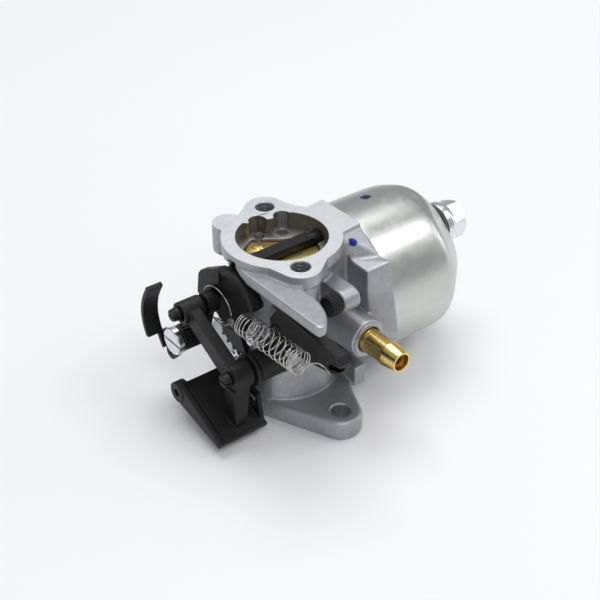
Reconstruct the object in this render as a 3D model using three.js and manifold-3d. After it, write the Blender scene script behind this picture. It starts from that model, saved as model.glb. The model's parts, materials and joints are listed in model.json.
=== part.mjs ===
// A small-engine float carburetor with an air-vane governor, as separate pieces.
// Units are millimetres. While the pieces are shaped, the main bore runs up +Z from the engine flange
// face at z = 0, the float bowl points along +X, the governor linkage sits on the -X side and the fuel
// inlet points along -Y. The last group moves the whole assembly so that its origin is the middle of
// the bottom of its bounding box.
import * as THREE from 'three';
import { mergeVertices } from 'three/addons/utils/BufferGeometryUtils.js';
import Module from 'manifold-3d';

const wasm = await Module();
wasm.setup();

// ---------------------------------------------------------------- driving dimensions
const GAP = 0.3;                        // clear space between neighbouring pieces

const BODY_HEIGHT = 57;                 // engine face to air-cleaner face
const ENGINE_FLANGE = { bottom: -1, top: 5.8, centreR: 19.5, earR: 7.1, spacing: 61, holeR: 3.3 };
const INTAKE_FLANGE = { bottom: 52.6, outerR: 19.4, earR: 6.6, earX: 6.54, earY: 17.9, holeR: 3.1 };
const THROTTLE = { z: 14, boreR: 10, shaftR: 3 };
const CHOKE = { z: 50.8, boreR: 12.2, shaftR: 2.6, barWidth: 4.5 };
const VENTURI = { z: 35.7, throatR: 8 };
const CHAMBER = { floor: 51.2, radius: 14.85 };

const BOWL = { y: 0, z: 29.4, radius: 26.5, wall: 0.9, rimX: 24.8, endX: 66 };
const COVER = { frontX: 16, faceX: 24.5 };
const JET = { y: 0, z: 36, towerR: 5.6, towerEnd: 64 };
const NIPPLE = { x: 12, z: 28, bossR: 6.7, bossEnd: -29.2, tipY: -45 };
const NEEDLE = { y: -13, z: 28, seatEnd: 25.8 };
const FLOAT_PIN = { x: 31, y: -20, z: 28, length: 12 };

const VANE_PIVOT = { y: -14, z: 23.5 };
const GOVERNOR_PIVOT = { y: 1.3, z: 31.4 };
const LINK_PIN = { y: 10.2, z: 36 };
const CLAMP_SCREW = { y: 13.1, z: 23.8 };
const IDLE_SCREW = { y: -8.2, z: 29.3 };
const MIXTURE_SCREW = { y: -24, z: 43 };
const MIXTURE_BOSS = { from: 3.4, to: 9.8 };
const SPEED_ARM_PIVOT = { y: -19, z: 37 };
const SPRING = { x: -21.8, coilR: 3.75, wire: 0.4, start: [-8.6, 37.4], end: [-37.8, 39.3], turns: 15 };

// ---------------------------------------------------------------- solids from three.js geometry
function solid(geometry) {
  const source = geometry.clone();
  source.deleteAttribute('normal');
  source.deleteAttribute('uv');
  const merged = mergeVertices(source, 1e-4);
  const mesh = new wasm.Mesh({
    numProp: 3,
    vertProperties: new Float32Array(merged.attributes.position.array),
    triVerts: new Uint32Array(merged.index.array),
  });
  return new wasm.Manifold(mesh);
}

function geometryOf(body) {
  const mesh = body.simplify(0.01).getMesh();
  const geometry = new THREE.BufferGeometry();
  geometry.setAttribute('position', new THREE.BufferAttribute(new Float32Array(mesh.vertProperties), 3));
  geometry.setIndex(new THREE.BufferAttribute(new Uint32Array(mesh.triVerts), 1));
  geometry.computeVertexNormals();
  return geometry;
}

const join = (...bodies) => bodies.reduce((whole, body) => whole.add(body));
const cut = (body, ...tools) => tools.reduce((left, tool) => left.subtract(tool), body);

// A geometry built along +Y is turned so that its +Y points along the named axis.
function turnTo(axis, geometry) {
  if (axis === 'x') geometry.rotateZ(-Math.PI / 2);
  if (axis === 'z') geometry.rotateX(Math.PI / 2);
  return geometry;
}

// Rod or cone along an axis: `at` gives the two other coordinates, in X, Y, Z order.
function rod(axis, from, to, at, startR, endR = startR, sides = 20) {
  const geometry = turnTo(axis, new THREE.CylinderGeometry(endR, startR, to - from, sides));
  const middle = (from + to) / 2;
  const place = { x: [middle, ...at], y: [at[0], middle, at[1]], z: [...at, middle] }[axis];
  return solid(geometry.translate(...place));
}

function ring(axis, from, to, at, outerR, innerR, sides = 24) {
  const margin = 1;
  return cut(rod(axis, from, to, at, outerR, outerR, sides),
    rod(axis, from - margin, to + margin, at, innerR, innerR, sides));
}

function box(low, high) {
  const size = high.map((value, i) => value - low[i]);
  const middle = high.map((value, i) => (value + low[i]) / 2);
  return solid(new THREE.BoxGeometry(...size).translate(...middle));
}

// Solid of revolution: the profile is a list of [radius, place along the axis].
function turned(axis, profile, at, sides = 40) {
  const points = profile.map(([radius, along]) => new THREE.Vector2(radius, along));
  const geometry = turnTo(axis, new THREE.LatheGeometry(points, sides));
  const place = { x: [0, ...at], y: [at[0], 0, at[1]], z: [...at, 0] }[axis];
  return solid(geometry.translate(...place));
}

function shapeOf(points) {
  return new THREE.Shape(points.map(([u, v]) => new THREE.Vector2(u, v)));
}

// Flat shape drawn in (x, y), standing from z = low to z = high.
function slabZ(shape, low, high, bevel = 0) {
  const geometry = new THREE.ExtrudeGeometry(shape, {
    depth: high - low - 2 * bevel, curveSegments: 10, steps: 1,
    bevelEnabled: bevel > 0, bevelThickness: bevel, bevelSize: bevel, bevelOffset: -bevel, bevelSegments: 1,
  });
  return solid(geometry.translate(0, 0, low + bevel));
}

// Flat shape drawn in (y, z), reaching from x = low to x = high.
function slabX(shape, low, high) {
  const geometry = new THREE.ExtrudeGeometry(shape, {
    depth: high - low, curveSegments: 8, steps: 1, bevelEnabled: false,
  });
  const turn = new THREE.Matrix4().makeBasis(
    new THREE.Vector3(0, 1, 0), new THREE.Vector3(0, 0, 1), new THREE.Vector3(1, 0, 0));
  return solid(geometry.applyMatrix4(turn).translate(low, 0, 0));
}

// Outline round two circles joined by their outer tangents.
function capsule(a, aR, b, bR) {
  const along = Math.atan2(b[1] - a[1], b[0] - a[0]);
  const distance = Math.hypot(b[0] - a[0], b[1] - a[1]);
  const lean = Math.acos((aR - bR) / distance);
  const shape = new THREE.Shape();
  shape.absarc(a[0], a[1], aR, along + lean, along - lean + 2 * Math.PI, false);
  shape.absarc(b[0], b[1], bR, along - lean, along + lean, false);
  return shape;
}

// Smooth skin through flat outlines that all have the same number of points, capped at both ends.
function loftX(sections) {
  const count = sections[0].outline.length;
  const positions = [];
  const corners = sections.map(({ x, outline }) => outline.map(([y, z]) => new THREE.Vector3(x, y, z)));
  const triangle = (...points) => points.forEach((p) => positions.push(p.x, p.y, p.z));
  for (let s = 0; s < corners.length - 1; s += 1) {
    for (let i = 0; i < count; i += 1) {
      const next = (i + 1) % count;
      const [a, b, c, d] = [corners[s][i], corners[s][next], corners[s + 1][next], corners[s + 1][i]];
      triangle(a, c, d);
      triangle(a, b, c);
    }
  }
  const cap = (points, facesForward) => {
    const flat = points.map((p) => new THREE.Vector2(p.y, p.z));
    for (const [a, b, c] of THREE.ShapeUtils.triangulateShape(flat, [])) {
      triangle(points[a], ...(facesForward ? [points[b], points[c]] : [points[c], points[b]]));
    }
  };
  cap(corners[0], false);
  cap(corners[corners.length - 1], true);
  const geometry = new THREE.BufferGeometry();
  geometry.setAttribute('position', new THREE.Float32BufferAttribute(positions, 3));
  return solid(geometry);
}

// Outline round one or more circles, sampled by outward direction so that outlines match one another.
function wrapped(circles, sides) {
  return Array.from({ length: sides }, (_, i) => {
    const [u, v] = [Math.cos(2 * Math.PI * i / sides), Math.sin(2 * Math.PI * i / sides)];
    const reach = ([y, z, r]) => y * u + z * v + r;
    const [y, z, r] = circles.reduce((best, circle) => (reach(circle) > reach(best) ? circle : best));
    return [y + r * u, z + r * v];
  });
}

const capsuleX = (a, aR, b, bR, low, high) =>
  slabX(capsule([a.y, a.z], aR, [b.y, b.z], bR), low, high);

const pivotPoint = (pivot) => [pivot.y, pivot.z];

// ---------------------------------------------------------------- body casting
function engineFlange() {
  const { bottom, top, centreR, earR, spacing } = ENGINE_FLANGE;
  const ears = [-1, 1].map((side) =>
    slabZ(capsule([0, 0], centreR, [0, side * spacing / 2], earR), bottom, top, 0.7));
  return join(...ears);
}

function intakeFlange() {
  const { bottom, outerR, earR, earX, earY } = INTAKE_FLANGE;
  const ears = [-1, 1].map((side) =>
    slabZ(capsule([0, 0], outerR - 2.2, [side * earX, side * earY], earR), bottom, BODY_HEIGHT));
  const drops = [-1, 1].map((side) =>
    rod('z', 34, bottom + 1, [side * earX, side * earY], earR - 1.2, earR - 0.6));
  const lobe = rod('z', 47, BODY_HEIGHT, [-8.6, 17.2], 5.3);
  return join(rod('z', bottom, BODY_HEIGHT, [0, 0], outerR, outerR, 48), ...ears, ...drops, lobe);
}

function throttleBarrel() {
  const outline = [[0, 4], [18.2, 4], [18.9, 6.6], [18.5, 8.4], [17.6, 12], [16.7, 17], [16, 24], [15.6, 30],
    [15.6, 45], [17.6, 49], [17.8, 56], [0, 56]];
  return turned('z', outline, [0, 0], 44);
}

// Flat arm of the casting that reaches out under the air-cleaner flange, over the governor linkage.
function overhangArm() {
  const shape = new THREE.Shape();
  shape.moveTo(-4, 3);
  shape.lineTo(-20, 3);
  shape.lineTo(-20, -41);
  shape.quadraticCurveTo(-20, -44.6, -17.5, -43.4);
  shape.quadraticCurveTo(-12.5, -40, -11, -31);
  shape.lineTo(-10.4, -20);
  shape.lineTo(-4, -17);
  return slabZ(shape, 50.6, 54.2);
}

// Cover of the float bowl: flat facets at the top and on the inlet side, round below, drafted towards
// the barrel, with a web that ties it to the barrel.
function bowlCover() {
  const { frontX, faceX } = COVER;
  const facets = {
    front: [[9, BODY_HEIGHT], [-10.3, BODY_HEIGHT], [-10.8, 56], [-14.7, 48.8], [-23, 48.5], [-23.8, 40.6],
      [-24.6, 32.8], [-26, 23]],
    rear: [[9.7, BODY_HEIGHT], [-9.5, BODY_HEIGHT], [-9.6, 56], [-19.6, 49.7], [-24.6, 50.1], [-26.7, 40.2],
      [-28.7, 32.8], [-30.4, 23.8]],
  };
  const ends = [[frontX, facets.front, 24], [faceX, facets.rear, BOWL.radius + 0.4]];
  const sections = ends.map(([x, corners, radius]) => {
    const [y, z] = corners[corners.length - 1];
    const from = Math.atan2(z - BOWL.z, y - BOWL.y) + 2 * Math.PI + 0.35;
    const to = 2 * Math.PI + 1.05;
    const steps = 18;
    const round = Array.from({ length: steps + 1 }, (_, i) => {
      const angle = from + (to - from) * i / steps;
      return [BOWL.y + radius * Math.cos(angle), BOWL.z + radius * Math.sin(angle)];
    });
    return { x, outline: corners.concat(round) };
  });
  return join(
    loftX(sections),
    box([8, -13, 20], [frontX + 1, 15, 55]),
    box([10, -9.6, 55.4], [frontX + 1, 9, BODY_HEIGHT]),
    box([12.6, -22.6, 4.4], [frontX + 1, -16, 12]),
  );
}

function inletBoss() {
  return join(
    rod('y', NIPPLE.bossEnd, -10, [NIPPLE.x, NIPPLE.z], NIPPLE.bossR, NIPPLE.bossR + 0.5, 28),
    box([8, -14, 20], [COVER.frontX + 1, -8, 34]),
  );
}

function linkageBosses() {
  return join(
    rod('x', -12.6, -4, pivotPoint(VANE_PIVOT), 5.6),
    rod('x', -17.9, -8, pivotPoint(GOVERNOR_PIVOT), 3.4),
    rod('x', -16, -8, [0, THROTTLE.z], 5),
    rod('x', 8, 18.4, [0, THROTTLE.z], 5.6),
    rod('x', -15.8, -6, pivotPoint(IDLE_SCREW), 2.3),
    rod('x', -12.2, -2, pivotPoint(SPEED_ARM_PIVOT), 4),
    box([-12.2, -19, 33], [-4, -8, 41]),
    rod('x', MIXTURE_BOSS.from, MIXTURE_BOSS.to, pivotPoint(MIXTURE_SCREW), 3.6),
    box([MIXTURE_BOSS.from, -24, 39.4], [MIXTURE_BOSS.to, -12, 46.6]),
  );
}

function bowlSideOfCover() {
  const postHalf = 1.7;
  const posts = [-1, 1].map((side) => {
    const z = FLOAT_PIN.z + side * 4.6;
    return box([COVER.faceX - 1, FLOAT_PIN.y - 2.2, z - postHalf],
      [FLOAT_PIN.x + 2.2, FLOAT_PIN.y + 2.2, z + postHalf]);
  });
  return join(rod('x', COVER.faceX - 1, JET.towerEnd, pivotPoint(JET), JET.towerR), ...posts);
}

// Choke chamber: round, with two scallops over the air-bleed holes on the far side.
function chokeChamber() {
  const open = BODY_HEIGHT + 1;
  const scallops = [[-0.6, 12.2], [7.6, 9.9]].map((at) => rod('z', CHAMBER.floor, open, at, 3));
  const side = cut(rod('z', CHAMBER.floor, open, [0, 0], CHAMBER.radius, CHAMBER.radius, 44),
    slabZ(shapeOf([[-7, 16], [-4, 12.6], [4.6, 10.2], [10.6, 9.4], [14, 12]]), CHAMBER.floor - 1, open + 1));
  return join(side, ...scallops);
}

function mainBore() {
  const { throatR } = VENTURI;
  const bore = turned('z', [[0, -2], [THROTTLE.boreR, -2], [THROTTLE.boreR, 24.4], [throatR, 33], [throatR, 38],
    [CHOKE.boreR, 45], [CHOKE.boreR, BODY_HEIGHT - 4], [0, BODY_HEIGHT - 4]], [0, 0], 36);
  const ledge = shapeOf([[-6.5, 15], [-3.4, 12.3], [4, 6.2], [9.4, 3.6], [16, 3.6], [16, 16]]);
  return cut(bore, slabZ(ledge, 46, CHAMBER.floor));
}

function drilledHoles() {
  const { spacing, holeR } = ENGINE_FLANGE;
  const { earX, earY, holeR: tappedR } = INTAKE_FLANGE;
  const holes = [
    rod('x', -22, 15.4, [0, THROTTLE.z], THROTTLE.shaftR + GAP),
    rod('x', -22, 15.4, [0, CHOKE.z], CHOKE.shaftR + 0.3),
    rod('y', NIPPLE.tipY, -24.6, [NIPPLE.x, NIPPLE.z], 4.3),
    rod('y', -30, NEEDLE.y, [NIPPLE.x, NIPPLE.z], 2),
    rod('x', NIPPLE.x, 30, [NEEDLE.y, NEEDLE.z], 2),
    rod('x', 19.3, 30, [NEEDLE.y, NEEDLE.z], 3.6),
    rod('x', 0, 47, pivotPoint(JET), 2.6),
    rod('x', 44.8, JET.towerEnd + 1, pivotPoint(JET), 3.4),
    rod('x', -30, -2, pivotPoint(VANE_PIVOT), 1.9),
    rod('x', -30, -9, pivotPoint(IDLE_SCREW), 1.5),
    rod('x', -30, -6, pivotPoint(SPEED_ARM_PIVOT), 1.7),
    rod('x', -10, MIXTURE_BOSS.to - 0.6, pivotPoint(MIXTURE_SCREW), 1.9),
    rod('z', FLOAT_PIN.z - 8, FLOAT_PIN.z + 8, [FLOAT_PIN.x, FLOAT_PIN.y], 1.2),
    rod('z', 48.4, CHAMBER.floor + 1, [-0.3, 12.1], 1.8),
    rod('z', 48.4, CHAMBER.floor + 1, [7.3, 9.4], 1.8),
    rod('z', 40, 47.1, [-8.6, 17.2], 3.9),
    rod('x', 15, 20, [8, THROTTLE.z + 8], 4.3),
  ];
  for (const side of [-1, 1]) {
    holes.push(rod('z', -2, 9, [0, side * spacing / 2], holeR, holeR, 28));
    holes.push(rod('z', BODY_HEIGHT - 14, BODY_HEIGHT + 1, [side * earX, side * earY], tappedR, tappedR, 24));
  }
  return holes;
}

// Room for the moving levers next to the casting.
function leverReliefs() {
  return [
    rod('x', -26, -17.9, pivotPoint(GOVERNOR_PIVOT), 21.4, 21.4, 64),
    capsuleX({ y: 0, z: CHOKE.z }, 3.9, { y: -10.6, z: 43.4 }, 2.6, -26, -15.9),
    box([-26, -12.6, 36], [-15.9, 3.2, 47]),
    box([-26, -2, 46], [-15.9, 5.2, 50.2]),
    rod('x', -26, -16.1, [0, THROTTLE.z], 6.6, 6.6, 28),
    rod('x', -26, -12.6, pivotPoint(VANE_PIVOT), 5.7, 5.7, 28),
    ring('x', -26, -16.1, pivotPoint(GOVERNOR_PIVOT), 13.6, 3.4, 40),
    box([CHOKE.boreR - 2, -2.6, CHOKE.z - 2.6], [CHOKE.boreR + 1, 2.6, BODY_HEIGHT - 3]),
  ];
}

function bodyCasting() {
  const outside = join(engineFlange(), throttleBarrel(), intakeFlange(), overhangArm(), bowlCover(), inletBoss(),
    linkageBosses(), bowlSideOfCover());
  const governorStub = rod('x', -20.2, -17, pivotPoint(GOVERNOR_PIVOT), 1.6);
  return join(cut(outside, mainBore(), chokeChamber(), ...drilledHoles(), ...leverReliefs()), governorStub);
}

// ---------------------------------------------------------------- float bowl and fuel parts
// Drawn steel cup: round at the rim, with a stepped end that reaches out to the bolt off its centre.
const BOWL_STEPS = [
  { x: BOWL.rimX, circles: [[BOWL.y, BOWL.z, BOWL.radius]] },
  { x: 50.5, circles: [[BOWL.y, BOWL.z, BOWL.radius]] },
  { x: 52.4, circles: [[BOWL.y, BOWL.z - 0.4, BOWL.radius - 0.6]] },
  { x: 54.4, circles: [[BOWL.y, BOWL.z - 1.4, BOWL.radius - 1.6], [JET.y, JET.z + 2, 17.4]] },
  { x: 57.2, circles: [[BOWL.y, 27.9, 22.4], [JET.y, 39.6, 14]] },
  { x: 62, circles: [[BOWL.y, 27.5, 18], [JET.y, 37.8, 10.4]] },
  { x: 65.2, circles: [[BOWL.y, 27.3, 15], [JET.y, 36.4, 8.2]] },
  { x: BOWL.endX, circles: [[BOWL.y, 27.2, 13.8], [JET.y, JET.z, 7.6]] },
];

function floatBowl() {
  const sides = 48;
  const outside = BOWL_STEPS.map(({ x, circles }) => ({ x, outline: wrapped(circles, sides) }));
  const inside = BOWL_STEPS.map(({ x, circles }, i) => ({
    x: i ? x - BOWL.wall : x - 1,
    outline: wrapped(circles.map(([y, z, r]) => [y, z, r - BOWL.wall]), sides),
  }));
  return cut(loftX(outside), loftX(inside), rod('x', BOWL.endX - 5, BOWL.endX + 1, pivotPoint(JET), 3.4));
}

function bowlGasket() {
  const outerR = BOWL.radius - BOWL.wall - GAP;
  return ring('x', COVER.faceX + GAP, COVER.faceX + 1.4, pivotPoint(BOWL), outerR, outerR - 1.5, 48);
}

const WASHER = { from: BOWL.endX + GAP, to: BOWL.endX + 1.1, outerR: 7.9 };
const BOLT = { flangeX: WASHER.to + GAP, hexX: 71.2, endX: 77.4, acrossFlats: 12.7 };

function bowlBolt() {
  const { flangeX, hexX, endX, acrossFlats } = BOLT;
  const cornerR = acrossFlats / Math.sqrt(3);
  const corner = (k) => THREE.MathUtils.degToRad(40 + 60 * k);
  const hexagon = shapeOf(Array.from({ length: 6 }, (_, k) =>
    [JET.y + cornerR * Math.cos(corner(k)), JET.z + cornerR * Math.sin(corner(k))]));
  const head = slabX(hexagon, hexX - 0.1, endX);
  const chamfer = turned('x', [[0, hexX - 2], [12, hexX - 2], [12, endX - 4], [cornerR - 1.6, endX], [0, endX]],
    pivotPoint(JET), 30);
  return join(
    head.intersect(chamfer),
    rod('x', flangeX, hexX, pivotPoint(JET), 8, 7.5, 28),
    rod('x', 49, flangeX + 1, pivotPoint(JET), 3),
  );
}

function fuelNipple() {
  const { tipY, x, z } = NIPPLE;
  const rootY = -24.9;
  const outside = [[3.5, tipY], [4.05, tipY + 3.6], [4.3, tipY + 5.6], [4.3, tipY + 6.3], [4, tipY + 6.4],
    [4, rootY]];
  const inside = [[2.1, rootY], [2.1, tipY + 5], [2.8, tipY + 5], [2.8, tipY], [3.5, tipY]];
  return turned('y', [...outside, ...inside], [x, z], 28);
}

function needleSeat() {
  return ring('x', 19.6, NEEDLE.seatEnd, pivotPoint(NEEDLE), 3.3, 1.3, 20);
}

const NEEDLE_END = 34.4;

function inletNeedle() {
  const tip = NEEDLE.seatEnd + 0.4;
  return turned('x', [[0, tip - 1.6], [0.9, tip - 1.2], [0.9, tip], [2, tip + 1.6], [2, NEEDLE_END], [0, NEEDLE_END]],
    pivotPoint(NEEDLE), 16);
}

// Hollow drum carried on a hinge arm; the tab on the arm presses on the inlet needle.
function float() {
  const { x, y, z } = FLOAT_PIN;
  const towerRoom = rod('x', 30, 60, [-1.5, 33.6], 12.4, 12.4, 28);
  const drum = cut(rod('x', 37.4, 48.5, pivotPoint(BOWL), 20.6, 20.6, 36), towerRoom);
  const eye = rod('z', z - 2.5, z + 2.5, [x, y], 2.3);
  const arm = box([x - 1, y - 1.4, z - 2.4], [38.4, y + 1.4, z + 2.4]);
  const tab = box([NEEDLE_END + 0.4, y - 1, z - 2.4], [NEEDLE_END + 1.8, NEEDLE.y + 2.2, z + 2.4]);
  const tongue = box([NEEDLE_END + 0.4, y - 1, z - 2.4], [38.4, y + 6, z + 2.4]);
  return cut(join(drum, eye, arm, tab, tongue), rod('z', z - 8, z + 8, [x, y], 1.2));
}

function emulsionTube() {
  const holes = [14, 20, 26, 32].map((x) => rod('z', JET.z - 4, JET.z + 4, [x, JET.y], 0.5, 0.5, 8));
  return cut(ring('x', -1, 44.3, pivotPoint(JET), 2.25, 1.1, 20), ...holes);
}

// ---------------------------------------------------------------- throttle and choke
function throttleShaft() {
  const bar = rod('x', -19, 15.1, [0, THROTTLE.z], THROTTLE.shaftR, THROTTLE.shaftR, 24);
  const flat = box([-10.4, -0.2, THROTTLE.z - 4], [10.4, 4, THROTTLE.z + 4]);
  return cut(bar, flat, rod('y', -5, 5, [0, THROTTLE.z], 1.5, 1.5, 16));
}

function throttlePlate() {
  const plate = rod('y', 0.1, 1.1, [0, THROTTLE.z], THROTTLE.boreR - 0.3, THROTTLE.boreR - 0.3, 40);
  return cut(plate, rod('y', -5, 5, [0, THROTTLE.z], 1.5, 1.5, 16));
}

function throttlePlateScrew() {
  return join(
    rod('y', 1.4, 2.6, [0, THROTTLE.z], 2.6, 2.1, 20),
    rod('y', -2.6, 1.6, [0, THROTTLE.z], 1.2, 1.2, 16));
}

function chokeShaft() {
  const { z, shaftR, barWidth, boreR } = CHOKE;
  const journal = rod('x', -17.4, -boreR + 1, [0, z], shaftR, shaftR, 24);
  const farJournal = rod('x', boreR - 1.6, 15.1, [0, z], shaftR, shaftR, 24);
  const bar = box([-boreR + 0.7, -barWidth / 2, z - 0.2], [boreR - 1.2, barWidth / 2, z + 2.4]);
  return cut(join(journal, farJournal, bar), rod('z', z - 4, z + 1.4, [0, 0], 1.5, 1.5, 16),
    box([-boreR + 0.7, -4, z - 4], [boreR - 0.9, 4, z - 0.15]));
}

function chokePlate() {
  const top = CHOKE.z - 0.45;
  const disc = rod('z', top - 0.8, top, [0, 0], CHOKE.boreR - 0.35, CHOKE.boreR - 0.35, 48);
  const ledge = shapeOf([[-8, 15], [-4, 12.1], [3.7, 5.8], [9.2, 3.2], [16, 3.2], [16, 16]]);
  const ledgeSide = slabZ(ledge, top - 3, top + 3);
  const bump = rod('z', top - 0.1, top + 0.5, [-3.9, 7.7], 2, 1.6, 20);
  const ends = [-1, 1].map((side) =>
    box([side < 0 ? -14 : CHOKE.boreR - 1.7, -3, top - 3], [side < 0 ? -CHOKE.boreR + 1 : 14, 3, top + 3]));
  return cut(join(cut(disc, ledgeSide), bump), ...ends, rod('z', top - 3, top + 3, [0, 0], 1.5, 1.5, 16));
}

function chokePlateScrew() {
  const under = CHOKE.z - 1.25;
  return join(rod('z', under - 1.5, under - GAP, [0, 0], 2.1, 2.5, 20),
    rod('z', under - 0.4, CHOKE.z + 1, [0, 0], 1.2, 1.2, 16));
}

function chokeLever() {
  const hub = { y: 0, z: CHOKE.z };
  const tip = { y: -10.2, z: 43.7 };
  const arm = capsuleX(hub, 3.2, tip, 1.7, -17.7, -16.2);
  return cut(arm, rod('x', -18, -16, [0, CHOKE.z], CHOKE.shaftR + 0.3, CHOKE.shaftR + 0.3, 20));
}

// Toothed outline for the small sector drive between the governor lever and the throttle.
function toothedShape(teeth, pitchR, firstAngle, lastAngle, rootR) {
  const pitch = 2 * Math.PI / teeth;
  const shape = new THREE.Shape();
  const at = (r, a) => [r * Math.cos(a), r * Math.sin(a)];
  const place = (r, a) => (shape.currentPoint.length() ? shape.lineTo(...at(r, a)) : shape.moveTo(...at(r, a)));
  const first = Math.ceil(firstAngle / pitch);
  const last = Math.floor(lastAngle / pitch);
  shape.moveTo(...at(rootR, first * pitch - pitch * 0.5));
  for (let n = first; n <= last; n += 1) {
    const middle = n * pitch;
    place(rootR, middle - pitch * 0.26);
    place(pitchR, middle - pitch * 0.17);
    place(pitchR + 0.75, middle - pitch * 0.08);
    place(pitchR + 0.75, middle + pitch * 0.08);
    place(pitchR, middle + pitch * 0.17);
    place(rootR, middle + pitch * 0.26);
  }
  place(rootR, last * pitch + pitch * 0.5);
  return shape;
}

const DRIVE_X = [-18, -16.5];
const driveAngle = Math.atan2(GOVERNOR_PIVOT.z - THROTTLE.z, GOVERNOR_PIVOT.y);
const driveDistance = Math.hypot(GOVERNOR_PIVOT.z - THROTTLE.z, GOVERNOR_PIVOT.y);
const PINION_TEETH = 10;
const SECTOR_TEETH = 25;
const pinionR = driveDistance * PINION_TEETH / (PINION_TEETH + SECTOR_TEETH);
const sectorR = driveDistance - pinionR;

function turnedShape(shape, angle, centre) {
  const cos = Math.cos(angle);
  const sin = Math.sin(angle);
  const corners = shape.getPoints(1).map((p) =>
    [centre.y + p.x * cos - p.y * sin, centre.z + p.x * sin + p.y * cos]);
  return shapeOf(corners);
}

// The pinion has a gap between two teeth facing the governor pivot.
function throttlePinion() {
  const outline = toothedShape(PINION_TEETH, pinionR, 0.01, 2 * Math.PI, pinionR - 0.95);
  const centre = { y: 0, z: THROTTLE.z };
  const turn = driveAngle + Math.PI / PINION_TEETH;
  return cut(slabX(turnedShape(outline, turn, centre), ...DRIVE_X),
    rod('x', -21, -15, [0, THROTTLE.z], THROTTLE.shaftR + GAP));
}

// A sector of the large gear with one tooth facing the throttle shaft.
function driveSector() {
  const reach = 4 * 2 * Math.PI / SECTOR_TEETH;
  const step = 2 * Math.PI / SECTOR_TEETH;
  const outline = toothedShape(SECTOR_TEETH, sectorR, -step * 1.1, reach * 0.8, sectorR - 0.95);
  outline.lineTo(0, 0);
  const sector = slabX(turnedShape(outline, driveAngle + Math.PI, GOVERNOR_PIVOT), ...DRIVE_X);
  return cut(sector, rod('x', -19, -15, pivotPoint(GOVERNOR_PIVOT), 3.7, 3.7, 24));
}

// ---------------------------------------------------------------- governor linkage
const LEVER_X = { back: -18.2, web: -19.6, front: -21 };
const CUP = { y: -1.1, z: 39.7, outerR: 12.25, innerR: 9.9 };

function governorLever() {
  const { back, web, front } = LEVER_X;
  const rim = new THREE.Shape();
  const from = THREE.MathUtils.degToRad(60);
  const to = THREE.MathUtils.degToRad(163);
  rim.absarc(CUP.y, CUP.z, CUP.outerR, from, to, false);
  rim.absarc(CUP.y, CUP.z, CUP.innerR, to, from, true);
  const webShape = new THREE.Shape();
  webShape.absarc(CUP.y, CUP.z, CUP.outerR - 0.4, from, to, false);
  webShape.lineTo(-8.4, 42.4);
  webShape.lineTo(-5.6, 38);
  webShape.lineTo(GOVERNOR_PIVOT.y - 4, GOVERNOR_PIVOT.z - 2.4);
  webShape.lineTo(GOVERNOR_PIVOT.y + 2, GOVERNOR_PIVOT.z - 4.6);
  webShape.lineTo(12.6, 31.6);
  webShape.lineTo(17, 36.5);
  const block = shapeOf([[5, 50.6], [5.6, 44], [9.6, 41.4], [12.4, 33], [18.4, 34.6], [17.2, 42.6], [15.6, 44.6]]);
  const boss = rod('x', -25.1, front, [8.4, 36.8], 3.7);
  const pinRoot = rod('x', -25.1, front, pivotPoint(LINK_PIN), 2.6);
  const screwArm = capsuleX({ y: 9.4, z: 35 }, 3.4, CLAMP_SCREW, 3.6, -25.1, -22.6);
  const pin = rod('x', -34.2, -24, pivotPoint(LINK_PIN), 1.45, 1.45, 20);
  const tip = rod('x', -36.4, -33.9, pivotPoint(LINK_PIN), 2, 2.35, 24);
  const tipSplit = box([-37, LINK_PIN.y - 3, LINK_PIN.z - 0.3], [-34.4, LINK_PIN.y + 3, LINK_PIN.z + 0.3]);
  const sectorHub = ring('x', DRIVE_X[0] - 1, DRIVE_X[1], pivotPoint(GOVERNOR_PIVOT), 4.9, 3.7, 28);
  const whole = join(slabX(webShape, web, back), slabX(rim, front, back), slabX(block, front, back), boss, pinRoot,
    screwArm, pin, tip, sectorHub, driveSector());
  return cut(whole, tipSplit,
    rod('x', -30, -19, pivotPoint(CLAMP_SCREW), 1.9, 1.9, 20),
    rod('x', -20.6, -15, pivotPoint(GOVERNOR_PIVOT), 1.9, 1.9, 20));
}

function vaneLever() {
  const armX = [-31.5, -27.5];
  const eyeX = [-33.5, -25.5];
  const arm = capsuleX(VANE_PIVOT, 3.4, LINK_PIN, 3, ...armX);
  const inner = { y: LINK_PIN.y - 0.75, z: LINK_PIN.z - 0.39 };
  const upperEye = capsuleX(inner, 3.4, LINK_PIN, 3.4, ...eyeX);
  const lowerEye = rod('x', -31, -24.9, pivotPoint(VANE_PIVOT), 4.6);
  const groove = slabX(shapeOf([[-8.8, 29.8], [3.6, 36.2], [1.8, 39.6], [-10.6, 33.2]]), armX[0] + 0.8, armX[0] + 1.8);
  return join(cut(join(arm, upperEye, lowerEye), groove,
    capsuleX({ y: LINK_PIN.y - 1.1, z: LINK_PIN.z - 0.57 }, 1.8, LINK_PIN, 1.8, -40, -20),
    rod('x', -40, -20, pivotPoint(VANE_PIVOT), 1.8)), vanePost(), vaneBlade());
}

// Post from the pivot eye down to the blade, narrower at its foot.
function vanePost() {
  const foot = new THREE.CylinderGeometry(4.4, 3.1, 14.4, 4);
  foot.rotateX(Math.PI / 2).rotateZ(Math.PI / 4);
  return cut(solid(foot.translate(-28.9, VANE_PIVOT.y, 12.6)),
    rod('x', -40, -20, pivotPoint(VANE_PIVOT), 4));
}

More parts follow.
